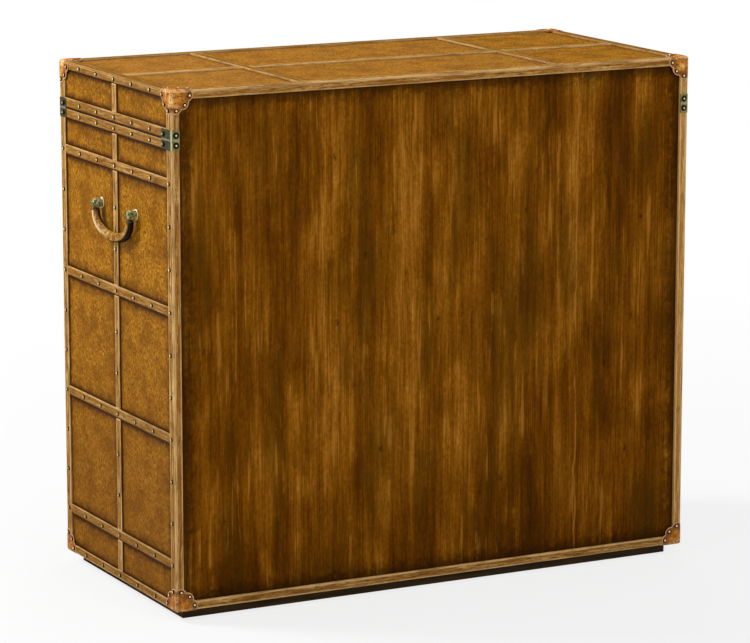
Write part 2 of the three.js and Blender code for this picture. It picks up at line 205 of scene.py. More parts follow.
def build_wood_figure(r, along, scale, ring_count):
    """Grain that runs along the vector's first axis."""
    streaks = r.grain(along, (13, 210, 210), 6, 0.68, scale=scale)
    drift = r.grain(along, (3.5, 46, 46), 2, 0.5, 0.3, scale=scale)
    rings = r.math("FRACT", r.times(drift, ring_count))
    lines = r.times(r.span(rings, 0, 0.12), r.span(rings, 1, 0.7))
    pores = r.span(r.grain(along, (55, 460, 460), 3, 0.6, scale=scale), 0.52, 0.6)
    height = r.math("SUBTRACT", r.times(streaks, 0.6), r.times(pores, 0.8))
    return {"Streaks": streaks, "Lines": r.math("SUBTRACT", 1, lines), "Pores": pores, "Height": height}


def build_hide_figure(r, place):
    """Mottled, pebbled leather."""
    return {
        "Clouds": r.noise(place, 20, 5, 0.66),
        "Mottle": r.grain(place, (230, 160, 200), 4, 0.74, 0.3),
        "Ticks": r.span(r.grain(place, (330, 230, 280), 2, 0.5, 0.8), 0.56, 0.64),
        "Pebble": r.noise(place, 1500, 2, 0.6),
    }


def build_rim_shade_and_wax(r, place, distance, reach):
    """Painted shade and dark wax near a border, uneven, from a distance to that border."""
    ragged = r.span(r.noise(place, 70, 4, 0.7), 0.3, 0.7, 0.45, 1.5)
    near = r.math("DIVIDE", distance, r.times(reach, ragged))
    return {"Mask": r.math("SUBTRACT", 1, r.span(near, 0, 1))}


wood_figure = node_group("wood figure", build_wood_figure, "Vector", "Scale", "Rings")
hide_figure = node_group("hide figure", build_hide_figure, "Vector")
rim_shade_and_wax = node_group("rim shade and wax", build_rim_shade_and_wax, "Vector", "Distance", "Reach")


def material(name, build, gloss, grazed=0, **kind):
    """Material whose build paints its recipe's colour and returns the shader's other varying inputs.

    Its gloss is its specular level, which fades to the grazed level where it is seen along itself.
    """
    made = bpy.data.materials.new(name)
    r = recipe_for(made)
    shader = made.node_tree.nodes.new("ShaderNodeBsdfPrincipled")
    level = shader.inputs["Specular IOR Level"]
    level.default_value = gloss
    if grazed != gloss:
        facing = r.add("LayerWeight", {"Blend": 0.5}, out=1)
        r.fill(level, r.span(facing, 0.35, 0.8, gloss, grazed))
    varying = build(r, **kind)
    for key, value in {"Base Color": r.colour, **varying}.items():
        r.fill(shader.inputs[key], value)
    r.add("OutputMaterial", {"Surface": shader.outputs[0]})
    return made


def build_panel_hide(r):
    place, tone, border = r.figure_map(), r.mark("tone"), r.mark("border")
    figure = r.use(hide_figure, Vector=place)
    mottle = figure["Mottle"]
    r.paint(mottle, (0.34, "744804"), (0.43, "935E05"), (0.5, "A66E0D"), (0.57, "B77C20"), (0.66, "CC903C"),
            (0.76, "E0AE6A"))
    r.lay("7A4903", r.span(figure["Clouds"], 0.36, 0.58, 0.72, 0))
    # Top panels are painted lighter by their tone, more towards the near end: sun-fading and painted light.
    r.lay("B98652", tone, 0.28)
    r.lay("552E04", figure["Ticks"], 0.72)
    r.lay_low("5E3604", 0.05, 0.62, 0.52)
    # Painted shade and dark wax along the strips: a wide soft band and a narrow dark line, weaker on the
    # lighter top panels.
    for reach, code, fresh, faded_lit in ((0.028, "552F00", 0.58, 0.36), (0.0095, "381900", 0.88, 0.72)):
        shade_and_wax = r.use(rim_shade_and_wax, Vector=place, Distance=border, Reach=reach)["Mask"]
        r.lay(code, shade_and_wax, r.span(tone, 0, 0.5, fresh, faded_lit))
    height = r.math("ADD", figure["Pebble"], r.times(mottle, 1.5))
    return r.surface(mottle, 0.7, 0.52, height, 0.35, 0.0006)


def build_oak(r, stained, low_share):
    """Waxed oak whose stain takes a colour, darkened towards the floor by a share.

    A strip's tone says how far it is stained, or bleached where it is negative.
    """
    place, tone, border = r.figure_map(), r.mark("tone"), r.mark("border")
    figure = r.use(wood_figure, Vector=place, Scale=1, Rings=9)
    streaks = figure["Streaks"]
    r.paint(streaks, (0.33, "573306"), (0.42, "90611E"), (0.5, "BC8840"), (0.59, "D8AA64"), (0.68, "EDCC8E"))
    r.lay("60390F", figure["Lines"], 0.6)
    r.lay("482904", figure["Pores"], 0.85)
    smudges = r.grain(place, (26, 130, 60), 2, 0.5, shift=(3, 5, 0))
    r.lay("4A2A08", r.span(smudges, 0.68, 0.75, 0, 0.85))
    specks = r.grain(place, (260, 520, 300), 2, 0.6, shift=(1, 2, 0))
    r.lay("563206", r.span(specks, 0.57, 0.66, 0, 0.75))
    r.lay("8F6427", r.span(r.noise(place, 36, 4, 0.65), 0.4, 0.7, 0, 0.55))
    r.lay(stained, r.span(tone, 0, 3, 0, 0.66))
    r.lay("EEAA52", r.span(tone, 0, -1.5, 0, 0.55))
    r.lay_low("6E480F", 0.02, 0.55, low_share)
    # Pale arrises: wear, and a painted highlight on the rounded edges, less on darker stained strips.
    worn_and_highlit = r.times(r.span(border, 0.35, 1), r.span(border, 1.6, 1.2))
    worn_and_highlit = r.times(worn_and_highlit, r.span(streaks, 0.38, 0.55, 0.25, 0.75))
    worn_and_highlit_share = r.math("SUBTRACT", r.span(tone, 1, 1.6, 1, 0.6), r.span(tone, 2.6, 3, 0, 0.35))
    r.lay("E4BA7C", worn_and_highlit, worn_and_highlit_share)
    # Painted shade and dark wax on the strip's foot and side walls, along its low sides and by the lid seam.
    r.lay("2C1003", r.math("MAXIMUM", r.span(border, 1.15, 1.65), r.span(border, -0.15, -0.95)), 0.92)
    return r.surface(streaks, 0.68, 0.5, figure["Height"], 0.4, 0.0007)


def build_stained_back(r):
    across, _, height = r.axes()
    upright = r.add("CombineXYZ", {0: height, 1: across, 2: 0})
    bands = r.grain(upright, (0.7, 15, 1), 2, 0.5, 0.1)
    streaks = r.grain(upright, (2.6, 80, 1), 3, 0.55, shift=(4, 2, 0))
    fine = r.grain(upright, (12, 420, 1), 4, 0.7)
    patches = r.grain(upright, (5, 12, 1), 7, 0.7, 0.4, (7, 1, 0))
    mottle = r.grain(upright, (130, 210, 1), 3, 0.65)
    total = r.times(bands, 0.3)
    for part, weight in ((streaks, 0.26), (fine, 0.28), (patches, 0.42), (mottle, 0.15)):
        total = r.math("ADD", total, r.times(part, weight))
    beside = r.math("ABSOLUTE", r.math("SUBTRACT", across, 0.1))
    total = r.math("ADD", total, r.span(beside, 0.05, 0.3, 0.022, 0))
    for low, high, darker in ((0.05, 0.6, -0.02), (0.03, 0.16, -0.04)):
        total = r.math("ADD", total, r.span(height, low, high, darker, 0))
    r.paint(total, (0.52, "3C1E00"), (0.61, "522B00"), (0.67, "663800"), (0.735, "7E4A05"), (0.81, "A06618"),
            (0.89, "C88E3E"))
    olive = r.grain(upright, (3, 11, 1), 3, 0.6, shift=(2, 6, 0))
    r.lay("4C3302", r.span(olive, 0.52, 0.64, 0, 0.42))
    glints = r.grain(upright, (6, 120, 1), 2, 0.5, shift=(1, 9, 0))
    r.lay("B87A2A", r.times(r.span(glints, 0.58, 0.68), r.span(patches, 0.44, 0.56)), 0.5)
    wander = r.span(r.grain(upright, (14, 1, 1), 2, 0.6), 0.3, 0.7, 0.263, 0.267)
    joint = r.span(r.math("ABSOLUTE", r.math("ADD", across, wander)), 0.0022, 0.0006)
    r.lay("B4742A", r.times(joint, r.span(patches, 0.4, 0.5)), 0.6)
    cells = {"Vector": r.stretch(upright, (3.5, 6, 1)), "Scale": 1}
    dents = r.add("TexVoronoi", cells, voronoi_dimensions="2D")
    ragged = r.span(r.noise(upright, 240, 3, 0.6), 0.3, 0.7, -0.012, 0.02)
    dents = r.span(r.math("ADD", dents, ragged), 0.034, 0.006)
    r.lay("2A1400", dents, 0.6)
    # Painted shade, with dark antiquing, along the board's edges inside the frame.
    side = r.math("SUBTRACT", 0.461, r.math("ABSOLUTE", across))
    level = r.math("SUBTRACT", 0.407, r.math("ABSOLUTE", r.math("SUBTRACT", height, 0.4385)))
    rim = r.math("MINIMUM", side, level)
    r.lay("221001", r.use(rim_shade_and_wax, Vector=upright, Distance=rim, Reach=0.03)["Mask"], 0.75)
    return r.surface(streaks, 0.5, 0.36, r.math("SUBTRACT", fine, dents), 0.2, 0.0008)


def build_plain_wood(r, find_place, light, dark):
    """Plain board with its grain along the first axis of the place found."""
    figure = r.use(wood_figure, Vector=find_place(r), Scale=0.6, Rings=6)
    streaks = figure["Streaks"]
    r.colour = linear(dark)
    r.lay(light, r.span(streaks, 0.3, 0.7))
    r.lay(dark, figure["Lines"], 0.35)
    r.lay(dark, figure["Pores"], 0.3)
    return r.surface(streaks, 0.7, 0.55, figure["Height"], 0.2, 0.0005)


def build_cap_hide(r):
    place, border = r.place(), r.mark("border")
    creases = r.noise(place, 190, 4, 0.7, 0.6)
    r.paint(r.noise(place, 80, 4, 0.6), (0.32, "8C4A02"), (0.44, "BA6C0C"), (0.53, "D28624"),
            (0.61, "E8A650"), (0.7, "F8D08E"))
    # Painted highlight along the cap's rounded arrises, broken by the creases.
    r.lay("FFDDA2", r.times(r.mark("tone"), r.span(creases, 0.4, 0.55, 1, 0.3)), 0.6)
    r.lay("5E2C02", r.span(creases, 0.51, 0.62, 0, 0.8))
    r.lay_low("7E4200", 0.06, 0.5, 0.42)
    r.lay("552A04", r.times(r.span(border, 0.6, 0.84), r.span(border, 0.99, 0.94)), 0.6)
    r.lay("DDB184", r.span(border, 0.94, 1, 0, 0.8))
    return r.surface(creases, 0.28, 0.45, creases, 0.6, 0.0012)


def build_bail_hide(r):
    place = r.figure_map()
    clouds = r.noise(place, 90, 4, 0.7)
    grain = r.noise(place, 240, 3, 0.6)
    r.paint(clouds, (0.34, "6E430F"), (0.45, "986826"), (0.55, "B98942"), (0.66, "DCB674"))
    r.lay("4A2A08", r.span(grain, 0.52, 0.62, 0, 0.8))
    # Painted highlight where the tone is low, painted shade near black where it is high.
    tone = r.math("ADD", r.mark("tone"), r.span(clouds, 0.3, 0.7, -0.1, 0.1))
    r.lay("F4DFB6", r.span(tone, -0.7, -1, 0, 0.7))
    r.lay("140802", r.span(tone, 0, 0.25, 0, 0.97))
    return r.surface(clouds, 0.5, 0.34, grain, 0.25, 0.0005)


def build_mount_brass(r):
    place = r.place()
    bloom = r.noise(place, 230, 4, 0.7)
    # Bare spots of brass, and a painted highlight on the rosette's rim.
    bare_and_highlit = r.math("MAXIMUM", r.span(bloom, 0.55, 0.6), r.mark("border"))
    r.colour = linear("626620")
    r.lay("BEBE78", r.span(r.noise(place, 900, 2, 0.6), 0.4, 0.6))
    r.lay("1C1A0A", r.span(bloom, 0.47, 0.41), 0.85)
    r.lay("F2EBC8", bare_and_highlit)
    # The ferrules and lugs are painted near black, as shade under the barrels.
    r.lay("17120A", r.mark("tone"), 0.9)
    return r.metal(bare_and_highlit, (0.05, 0.3), (0.45, 0.32), bloom, 0.5, 0.001)


def build_plate_brass(r):
    bloom = r.noise(r.place(), 140, 5, 0.7)
    dark, pale = [r.mix(r.span(bloom, 0.35, 0.65), linear(low), linear(high))
                  for low, high in (("26240A", "4A4820"), ("5C5A2C", "928F56"))]
    # Pale metal by the seam and along the bent arris: wear and a painted highlight.
    seam = r.math("ABSOLUTE", r.math("SUBTRACT", r.axes()[2], SEAM_Z * METRE))
    seam_edge = r.times(r.span(seam, 0.002, 0.0006), 0.35)
    arris = r.times(r.mark("border"), r.span(bloom, 0.25, 0.5, 0.6, 1))
    worn_and_highlit = r.math("MAXIMUM", arris, seam_edge)
    # The end flanges are painted darker than the face flanges, as painted shade.
    r.colour = r.mix(r.mark("tone"), pale, dark)
    r.lay("D2D0A8", worn_and_highlit)
    return r.metal(worn_and_highlit, (0.05, 0.6), (0.5, 0.35), bloom, 0.2, 0.0004)


def build_nail_brass(r, core, rim, dulled):
    """Nail of brass rubbed bright at its crown, which is also a painted highlight, out to a share of its
    dark rim of patina, wax and painted shade.

    Nails near the floor are darkened by a share.
    """
    specks = r.noise(r.place(), 1200, 3, 0.6)
    r.colour = linear("EED59C")
    r.lay_low("6A4E20", 0.05, 0.7, dulled)
    dull = r.span(r.mark("border"), core, core + 0.16)
    # Dark rim: patina, with painted shade round the nail; the crown left bright is a painted highlight.
    patina = r.math("MAXIMUM", dull, r.span(specks, 0.62, 0.78, 0, 0.5))
    r.lay(rim, patina)
    return {"Metallic": r.span(patina, 0, 1, 0.35, 0), "Roughness": r.span(patina, 0, 1, 0.3, 0.6)}


def plain_wood(name, find_place, light, dark, gloss=0.3):
    return material(name, build_plain_wood, gloss, find_place=find_place, light=light, dark=dark)


def brass_for_nails(name, core, rim, dulled=0, gloss=0.1):
    return material(name, build_nail_brass, gloss, gloss, core=core, rim=rim, dulled=dulled)


panel_hide = material("golden panel leather", build_panel_hide, 0.07)
oak = material("waxed oak strip", build_oak, 0.12, stained="825618", low_share=0.42)
rear_oak = material("warm oak strip", build_oak, 0.12, stained="A2600E", low_share=0.2)
stained_back = material("stained back board", build_stained_back, 0.02)
carcass_wood = plain_wood("carcass boards", Recipe.place, "B08A58", "7E5A30")
upright_wood = plain_wood("upright boards", Recipe.upright_place, "B08A58", "7E5A30")
drawer_wood = plain_wood("drawer boards", Recipe.figure_map, "CBA675", "9A7445")
plinth_wood = plain_wood("dark plinth", Recipe.figure_map, "463316", "261908", 0.1)
cap_hide = material("corner cap leather", build_cap_hide, 0.16)
bail_hide = material("bail leather", build_bail_hide, 0.06)
mount_brass = material("greened brass mounts", build_mount_brass, 0.3)
plate_brass = material("dark brass plates", build_plate_brass, 0.2)
nail_brass = brass_for_nails("nail brass", 0.44, "1A0D03", 0.5)
small_nail_brass = brass_for_nails("cap nail brass", 0.36, "341806")
# Plate nails are dark but for a small bright crown, a painted highlight.
dark_nail_brass = brass_for_nails("plate nail brass", 0.2, "1A0D03")


# Mesh tools

FIGURE_ROOM = 9000
NEAR = 0.001
X, Y, Z = Vector((1, 0, 0)), Vector((0, 1, 0)), Vector((0, 0, 1))


def shift(*place):
    return Matrix.Translation(place)


def turn(degrees, axis):
    return Matrix.Rotation(math.radians(degrees), 4, axis)


def face_frame(across, up, out, origin):
    """Turns a face's own places, across, up and out, into the chest's."""
    return shift(*origin) @ Matrix((across, up, out)).transposed().to_4x4()


RIGHT_END = face_frame(Y, Z, X, (END_FACE, 0, 0))
LEFT_END = face_frame(-Y, Z, -X, (-END_FACE, 0, 0))
FRONT = face_frame(X, Z, -Y, (0, -FRONT_FACE, 0))
BACK = face_frame(-X, Z, Y, (0, BACK_SEAT, 0))
TOP = face_frame(X, Y, Z, (0, 0, TOP_FACE))
ENDS = {"left": LEFT_END, "right": RIGHT_END}


def link(name, data):
    """Puts a new object into the scene."""
    made = bpy.data.objects.new(name, data)
    bpy.context.scene.collection.objects.link(made)
    return made


class Work:
    """One piece being made, with the map and the marks that its material reads."""

    def __init__(self, bm=None):
        self.bm = bmesh.new() if bm is None else bm
        self.find_layers()

    def find_layers(self):
        self.uv = self.bm.loops.layers.uv.get("figure") or self.bm.loops.layers.uv.new("figure")
        floats = self.bm.verts.layers.float
        self.border = floats.get("border") or floats.new("border")
        self.tone = floats.get("tone") or floats.new("tone")

    def move(self, matrix):
        """Moves the work, with its faces turned round where the matrix mirrors it."""
        bmesh.ops.transform(self.bm, matrix=matrix, verts=self.bm.verts)
        if matrix.determinant() < 0:
            bmesh.ops.reverse_faces(self.bm, faces=self.bm.faces)
        return self

    def copy(self, place):
        return Work(self.bm.copy()).move(place)

    def to_mesh(self, name):
        """Mesh of the work, which is used up."""
        mesh = bpy.data.meshes.new(name)
        self.bm.to_mesh(mesh)
        self.bm.free()
        return mesh

    def take(self, other, matrix=None):
        """Adds another work's mesh, moved by matrix, and uses it up."""
        if matrix is not None:
            other.move(matrix)
        mesh = other.to_mesh("part")
        self.bm.from_mesh(mesh)
        bpy.data.meshes.remove(mesh)
        self.find_layers()

    def map_figure(self, along, across, depth):
        """Lays the figure map in metres from a random start, with the grain along one axis.

        The depth is folded into both of the map's directions.
        """
        start = chance.uniform(0, FIGURE_ROOM), chance.uniform(0, FIGURE_ROOM)
        for face in self.bm.faces:
            for loop in face.loops:
                place = loop.vert.co
                u = place[along] + place[depth] + start[0]
                v = place[across] + place[depth] + start[1]
                loop[self.uv].uv = (u * METRE, v * METRE)


def piece(name, work, finish, body="case", node=None, sharp=35):
    """Sets the finished work in the chest's frame, in metres, as one object in a CAD node's place."""
    mesh = work.move(shift(0, SET_BACK * METRE, 0) @ Matrix.Scale(METRE, 4)).to_mesh(name)
    mesh.materials.append(finish)
    mesh.polygons.foreach_set("use_smooth", [True] * len(mesh.polygons))
    mesh.set_sharp_from_angle(angle=math.radians(sharp))
    made = link(name, mesh)
    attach(made, body)
    if node:
        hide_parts(node)


def gather(works, face=None):
    whole = Work()
    for work in works:
        whole.take(work, face)
    return whole


def slab(low, high):
    """Work holding one block between two corners."""
    work = Work()
    size = [b - a for a, b in zip(low, high)]
    centre = [(a + b) / 2 for a, b in zip(low, high)]
    bmesh.ops.create_cube(work.bm, size=1, matrix=shift(*centre) @ Matrix.Diagonal((*size, 1)))
    return work


def rod(radius, length, sides):
    work = Work()
    bmesh.ops.create_cone(work.bm, cap_ends=True, segments=sides, radius1=radius, radius2=radius,
                          depth=length)
    return work


def turned(profile, segments=28):
    """Turned work from a profile of radius and reach, standing out towards -Y from y = 0."""
    work = Work()
    bm = work.bm
    verts = [bm.verts.new((radius, reach, 0)) for radius, reach in profile]
    edges = [bm.edges.new(pair) for pair in zip(verts, verts[1:])]
    bmesh.ops.spin(bm, geom=verts + edges, cent=(0, 0, 0), axis=(0, 1, 0), angle=2 * math.pi,
                   steps=segments, use_merge=True)
    bmesh.ops.remove_doubles(bm, verts=bm.verts, dist=NEAR)
    face_out(bm)
    return work


def bevel(bm, geom, width, segments, affect="EDGES"):
    bmesh.ops.bevel(bm, geom=geom, offset=width, offset_type="OFFSET", segments=segments,
                    profile=0.5, affect=affect, material=-1, clamp_overlap=True)


def face_out(bm):
    bmesh.ops.recalc_face_normals(bm, faces=bm.faces[:])


def thicken(bm, thickness, outward):
    """Makes a skin solid on its inner side; outward says how far a face looks out."""
    face_out(bm)
    if sum(outward(face) for face in bm.faces) < 0:
        bmesh.ops.reverse_faces(bm, faces=bm.faces[:])
    bm.normal_update()
    bmesh.ops.solidify(bm, geom=bm.faces[:], thickness=thickness)
    face_out(bm)


def top_of(bm):
    return max((f for f in bm.faces if f.normal.z > 0.9), key=lambda f: f.calc_area())


def carve(work, cutter):
    """What is left of one work once another is cut out of it."""
    whole, cut = [link(name, part.to_mesh(name)) for name, part in (("whole", work), ("cutter", cutter))]
    change = whole.modifiers.new("cut", "BOOLEAN")
    change.object = cut
    change.solver = "EXACT"
    graph = bpy.context.evaluated_depsgraph_get()
    mesh = bpy.data.meshes.new_from_object(whole.evaluated_get(graph))
    bm = bmesh.new()
    bm.from_mesh(mesh)
    for spent in (whole, cut):
        data = spent.data
        bpy.data.objects.remove(spent)
        bpy.data.meshes.remove(data)
    bpy.data.meshes.remove(mesh)
    return Work(bm)


# Strips, panels and nails

TIGHT_SHARE = 0.3
BARE_BORDER, SEAM_SHADE_BORDER = 1.15, 1.55
RING_SHARE, RING_LIFT = 0.2, 0.2
PANEL_RINGS = ((1.5, 0.35), (2.5, 0.25), (4.0, 0.15), (6.0, 0.1), (8.0, 0.05))
HIDE_FOOT, PANEL_ROOM, SHADE_UNDER_STRIP = 0.25, 0.44, 0.0012
WAX_SHADE_SHARE, WAX_SHADE_HEIGHT = 1.35, 0.2
NAIL_RADIUS, NAIL_HEIGHT, NAIL_SINK = 2.9, 2.6, 0.1


def oak_strip(u0, u1, v0, v1, height=STRIP_THICKNESS, arris=1.1, stain=0.0, bare=(), tight=(), dark=(),
              wax_and_shade=()):
    """Strip nailed flat on a face, with rounded arrises and its grain along its length.

    Bare sides lie in the case's outer faces, tight ones meet another strip edge to edge, dark ones
    face the lid seam and are painted with shade there, and the last sides given hold old wax and
    painted shade. The border mark is 2 at the strip's foot, 1 at its top and 0 inside a ring on the
    top, and below zero on the sides with wax and shade.
    """
    work = slab((u0, v0, 0), (u1, v1, height))
    bm = work.bm
    bevel(bm, list(top_of(bm).edges), arris, 3)
    bm.normal_update()
    top = top_of(bm)
    sides = {"left": (0, u0), "right": (0, u1), "low": (1, v0), "high": (1, v1)}

    def beside(names, reach):
        for axis, edge in [sides[name] for name in names]:
            for vert in bm.verts:
                if abs(vert.co[axis] - edge) < reach:
                    yield vert, axis, edge

    for vert in bm.verts:
        vert[work.border] = 2.0 - vert.co.z / height
    for vert, _, _ in beside(bare, NEAR):
        vert[work.border] = min(vert[work.border], BARE_BORDER)
    # Sides by the lid seam are marked for painted shade.
    for vert, _, _ in beside(dark, arris / 2):
        vert[work.border] = SEAM_SHADE_BORDER
    # Sides with wax and painted shade are marked below zero.
    for vert, _, _ in beside(wax_and_shade, arris + NEAR):
        vert[work.border] *= -1
    for vert, axis, edge in beside(tight, arris + NEAR):
        if vert.co.z > NEAR:
            vert.co[axis] = edge + (vert.co[axis] - edge) * TIGHT_SHARE
            vert.co.z = height - (height - vert.co.z) * TIGHT_SHARE
    ring = min(u1 - u0, v1 - v0) * RING_SHARE
    bmesh.ops.inset_region(bm, faces=[top], thickness=ring, depth=RING_LIFT, use_even_offset=True)
    tone = stain + chance.random()
    for vert in bm.verts:
        if vert.co.z > height + RING_LIFT / 20:
            vert[work.border] = 0.0
            vert.co.z -= RING_LIFT
        vert[work.tone] = tone
    along, across = (0, 1) if u1 - u0 > v1 - v0 else (1, 0)
    work.map_figure(along, across, 2)
    return work


def cased_strip(u0, u1, v0, v1, outer, tight=(), wax_and_shade=(), **kind):
    """Strip on an upright face of the case, where outer is how far that face reaches to each side."""
    limits = {"left": u0 == -outer, "right": u1 == outer, "low": v0 == PLINTH_HEIGHT, "high": v1 == TOP_FACE}
    bare = [side for side, met in limits.items() if met]
    level = u1 - u0 > v1 - v0
    dark = [side for side, met in (("low", v0 == LID_LOW), ("high", v1 == BODY_HIGH)) if met and level]
    tight = [side for side in tight if side in bare]
    wax_and_shade = [side for side in wax_and_shade if side not in bare]
    return oak_strip(u0, u1, v0, v1, bare=bare, tight=tight, dark=dark, wax_and_shade=wax_and_shade, **kind)


def leather_panel(u0, u1, v0, v1, faded_lit=0.0):
    """Leather stretched over the board between strips, drawn down at its border.

    The border mark is how far in a place lies, in metres. Panels other than those on the top take
    more painted shade below the strip above them, by a set reach.
    """
    work = slab((u0, v0, 0), (u1, v1, HIDE_FOOT))
    bm = work.bm
    bm.normal_update()
    room = PANEL_ROOM * min(u1 - u0, v1 - v0)
    share = min(1.0, room / sum(width for width, _ in PANEL_RINGS))
    depth = 0.0
    for vert in bm.verts:
        vert[work.border] = 0.0
        vert[work.tone] = faded_lit
    for width, rise in PANEL_RINGS:
        before = depth * METRE
        depth += width * share
        top = top_of(bm)
        ring = {tuple(v.co) for v in top.verts}
        bmesh.ops.inset_region(bm, faces=[top], thickness=width * share, depth=rise, use_even_offset=True)
        bm.normal_update()
        for vert in bm.verts:
            if tuple(vert.co) in ring:
                vert[work.border] = before
        for vert in top_of(bm).verts:
            vert[work.border] = depth * METRE
    # More painted shade below the strip above, except on the top.
    if not faded_lit:
        for vert in bm.verts:
            if vert.co.y > (v0 + v1) / 2:
                vert[work.border] -= SHADE_UNDER_STRIP
    work.map_figure(0, 1, 2)
    return work


def nail(radius, height):
    """Dome-headed nail standing on z = 0, in a thin dark ring of wax and painted shade."""
    wax = radius * WAX_SHADE_SHARE
    shares = ((0.98, 0.3), (0.82, 0.62), (0.5, 0.9))
    profile = [(0, 0), (wax, 0), (wax * 0.97, -0.22), (radius, -0.25)]
    profile += [(radius * across, -WAX_SHADE_HEIGHT - (height - WAX_SHADE_HEIGHT) * up) for across, up in shares]
    work = turned(profile + [(0, -height)], 10).move(turn(-90, "X"))
    for vert in work.bm.verts:
        vert[work.border] = math.hypot(vert.co.x, vert.co.y) / wax if vert.co.z > WAX_SHADE_HEIGHT / 2 else 1.0
    return work


def nails(name, places, radius, height, body="case", finish=nail_brass):
    """Nails as one piece: places are matrices that stand each one on its strip."""
    pattern = nail(radius, height)
    work = gather([pattern.copy(place) for place in places])
    piece(name, work, finish, body, sharp=60)


def face_nails(name, face, marks, body="case"):
    places = [face @ shift(u, v, STRIP_THICKNESS - NAIL_SINK) for u, v in marks]
    nails(name, places, NAIL_RADIUS, NAIL_HEIGHT, body)


def strips(name, made, face, node, body="case", finish=oak):
    piece(name, gather(made, face), finish, body, node)


def panels(name, made, face, body="case"):
    piece(name, gather(made, face), panel_hide, body)


def between(low, high, centres):
    """Spans left from low to high between strips centred on the given places."""
    edges = [low] + [c + s * HALF_STRIP for c in centres for s in (-1, 1)] + [high]
    return list(zip(edges[0::2], edges[1::2]))


BODY_ROWS = between(PLINTH_HEIGHT + RIM_WIDTH, BODY_HIGH - STRIP_WIDTH, sorted(RAIL_Z))
LID_ROW = (LID_LOW + STRIP_WIDTH, CASE_TOP - RIM_WIDTH)
END_EDGE, FRONT_EDGE = HALF_DEPTH - EDGE_WIDTH, HALF_WIDTH - EDGE_WIDTH
END_COLUMNS = between(-END_EDGE, END_EDGE, [0])
FRONT_COLUMNS = between(-FRONT_EDGE, FRONT_EDGE, CROSSES)
BODY_LEVELS = [(PLINTH_HEIGHT, PLINTH_HEIGHT + RIM_WIDTH)]
BODY_LEVELS += [(z - HALF_STRIP, z + HALF_STRIP) for z in sorted(RAIL_Z)]
BODY_LEVELS += [(BODY_HIGH - STRIP_WIDTH, BODY_HIGH)]
LID_LEVELS = [(LID_LOW, LID_LOW + STRIP_WIDTH), (CASE_TOP - RIM_WIDTH, TOP_FACE)]


def strip_grid(outer, inner, levels, centres, upright_rows, tight):
    """Edge uprights, level strips between them and short uprights between those."""
    low, high = levels[0][0], levels[-1][1]
    made = [cased_strip(*span, low, high, outer, tight) for span in ((-outer, -inner), (inner, outer))]
    # Level strips are stained darker and take wax and painted shade on their low side.
    made += [cased_strip(-inner, inner, *level, outer, tight, ["low"], stain=1.6) for level in levels]
    return made + [oak_strip(c - HALF_STRIP, c + HALF_STRIP, *row) for row in upright_rows for c in centres]


def dress_face(name, node, face, outer, inner, centres, columns, body_rows, tight):
    """Strips of one upright face below and above the lid seam, and the leather between them."""
    body = strip_grid(outer, inner, BODY_LEVELS, centres, body_rows, tight)
    lid = strip_grid(outer, inner, LID_LEVELS, centres, [LID_ROW], tight)
    strips(f"{name}_body_strips", body, face, f"{node}_body_battens")
    strips(f"{name}_lid_strips", lid, face, f"{node}_lid_battens")
    made = [leather_panel(*column, *row) for row in body_rows + [LID_ROW] for column in columns]
    panels(f"{name}_leather", made, face)


def dress_top():
    outer, inner = (-HALF_WIDTH, HALF_WIDTH), (-END_EDGE, END_EDGE)
    spans = [(*outer, -HALF_DEPTH, -END_EDGE), (*outer, END_EDGE, HALF_DEPTH)]
    spans += [(-HALF_WIDTH, -FRONT_EDGE, *inner), (FRONT_EDGE, HALF_WIDTH, *inner)]
    spans += [(c - HALF_STRIP, c + HALF_STRIP, *inner) for c in CROSSES]
    spans += [(*column, -HALF_STRIP, HALF_STRIP) for column in FRONT_COLUMNS]
    stains = [2.0, 0.5, 2.7, 2.7, 1.5, 2.5, -1.0, -1.0, -1.0]
    bare = ["left", "right", "low", "high"]
    made = [oak_strip(*span, stain=stain, bare=bare) for span, stain in zip(spans, stains)]
    strips("top_strips", made, TOP, "top_battens")
    # Top panels are sun-faded and painted lighter, more towards the near end.
    fades = zip(FRONT_COLUMNS, (0.5, 0.8, 1.0))
    made = [leather_panel(*column, *row, faded_lit=fade) for column, fade in fades for row in END_COLUMNS]
    panels("top_leather", made, TOP)


def dress_back():
    inner = HALF_WIDTH - BACK_FRAME_WIDTH
    low, high = PLINTH_HEIGHT, TOP_FACE
    spans = [(-END_FACE, -inner, low, high), (inner, END_FACE, low, high)]
    spans += [(-inner, inner, low, low + BACK_FRAME_WIDTH)]
    spans += [(-inner, inner, CASE_TOP - BACK_FRAME_WIDTH, high)]
    kind = {"tight": ["left", "right", "high"], "height": BACK_FRAME_DEPTH, "arris": BACK_ARRIS}
    stains = (1.2, -1.5, 0.5, 0.8)
    made = [cased_strip(*span, END_FACE, stain=stain, **kind) for span, stain in zip(spans, stains)]
    strips("back_frame_strips", made, BACK, "back_frame", finish=rear_oak)


SEAM_FLOOR, SEAM_FILLED, SEAM_ROOM, SEAM_END = 0.05, 1.2, 0.02, 0.5


def shade_seams():
    """Dark strips at the bottom of the lid seam, standing in for the shade inside it."""
    seam_shade = Work()
    for face, reach in ((RIGHT_END, HALF_DEPTH), (LEFT_END, HALF_DEPTH), (FRONT, END_FACE)):
        reach -= SEAM_END
        low, high = (-reach, BODY_HIGH + SEAM_ROOM, SEAM_FLOOR), (reach, LID_LOW - SEAM_ROOM, SEAM_FILLED)
        seam_shade.take(slab(low, high), face)
    piece("seam_shade_strips", seam_shade, plinth_wood)


